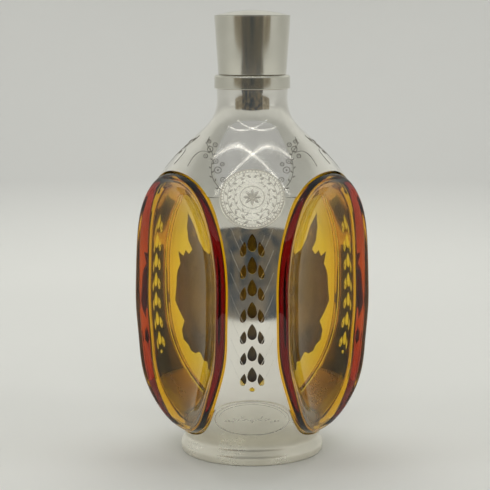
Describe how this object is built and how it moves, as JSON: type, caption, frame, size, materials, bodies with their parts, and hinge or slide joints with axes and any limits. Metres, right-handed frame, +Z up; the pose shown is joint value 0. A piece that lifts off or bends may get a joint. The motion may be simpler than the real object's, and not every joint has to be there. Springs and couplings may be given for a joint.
{
  "type": "decanter",
  "caption": "Three-sided amber glass pinch decanter clad in pierced pewter, with a tapered metal cap on a cork that lifts out of the neck.",
  "frame": {"origin": "middle of the flat underside, on the bottle's own axis", "axes": "+Z up along the bottle's axis, -Y towards the front ridge, +Y through the middle of the rear dimple"},
  "size_m": [0.1369, 0.122, 0.2508],
  "materials": {
    "amber_glass": "clear amber blown glass",
    "pewter_plain": "polished pewter",
    "pewter_pierced": "polished, pierced and engraved pewter",
    "pewter_engraved": "engraved pewter",
    "pewter_cast": "cast pewter",
    "felt": "felt",
    "cork": "cork",
    "wood_core": "turned wood"
  },
  "bodies": {
    "root": {"shoulder_shell": "pewter_plain", "neck_collar": "pewter_plain", "base_cup": "pewter_plain", "base_plate": "pewter_plain", "glass_bottle": "amber_glass", "ridge_strip_front": "pewter_pierced", "medallion_front": "pewter_engraved", "plaque_front": "pewter_engraved", "ridge_strip_right": "pewter_pierced", "medallion_right": "pewter_engraved", "plaque_right": "pewter_engraved", "ridge_strip_left": "pewter_pierced", "medallion_left": "pewter_engraved", "plaque_left": "pewter_engraved", "crest_applique": "pewter_cast", "seat_pad": "felt", "neck_bush": "cork"},
    "stopper": {"cap_wall": "pewter_plain", "cap_top": "pewter_plain", "cap_filler": "wood_core", "cork_stopper": "cork"}
  },
  "joints": [
    {"name": "stopper_lift", "type": "slide", "parent": "root", "child": "stopper", "axis": [0, 0, 1], "range_m": [0, 0.06]}
  ]
}
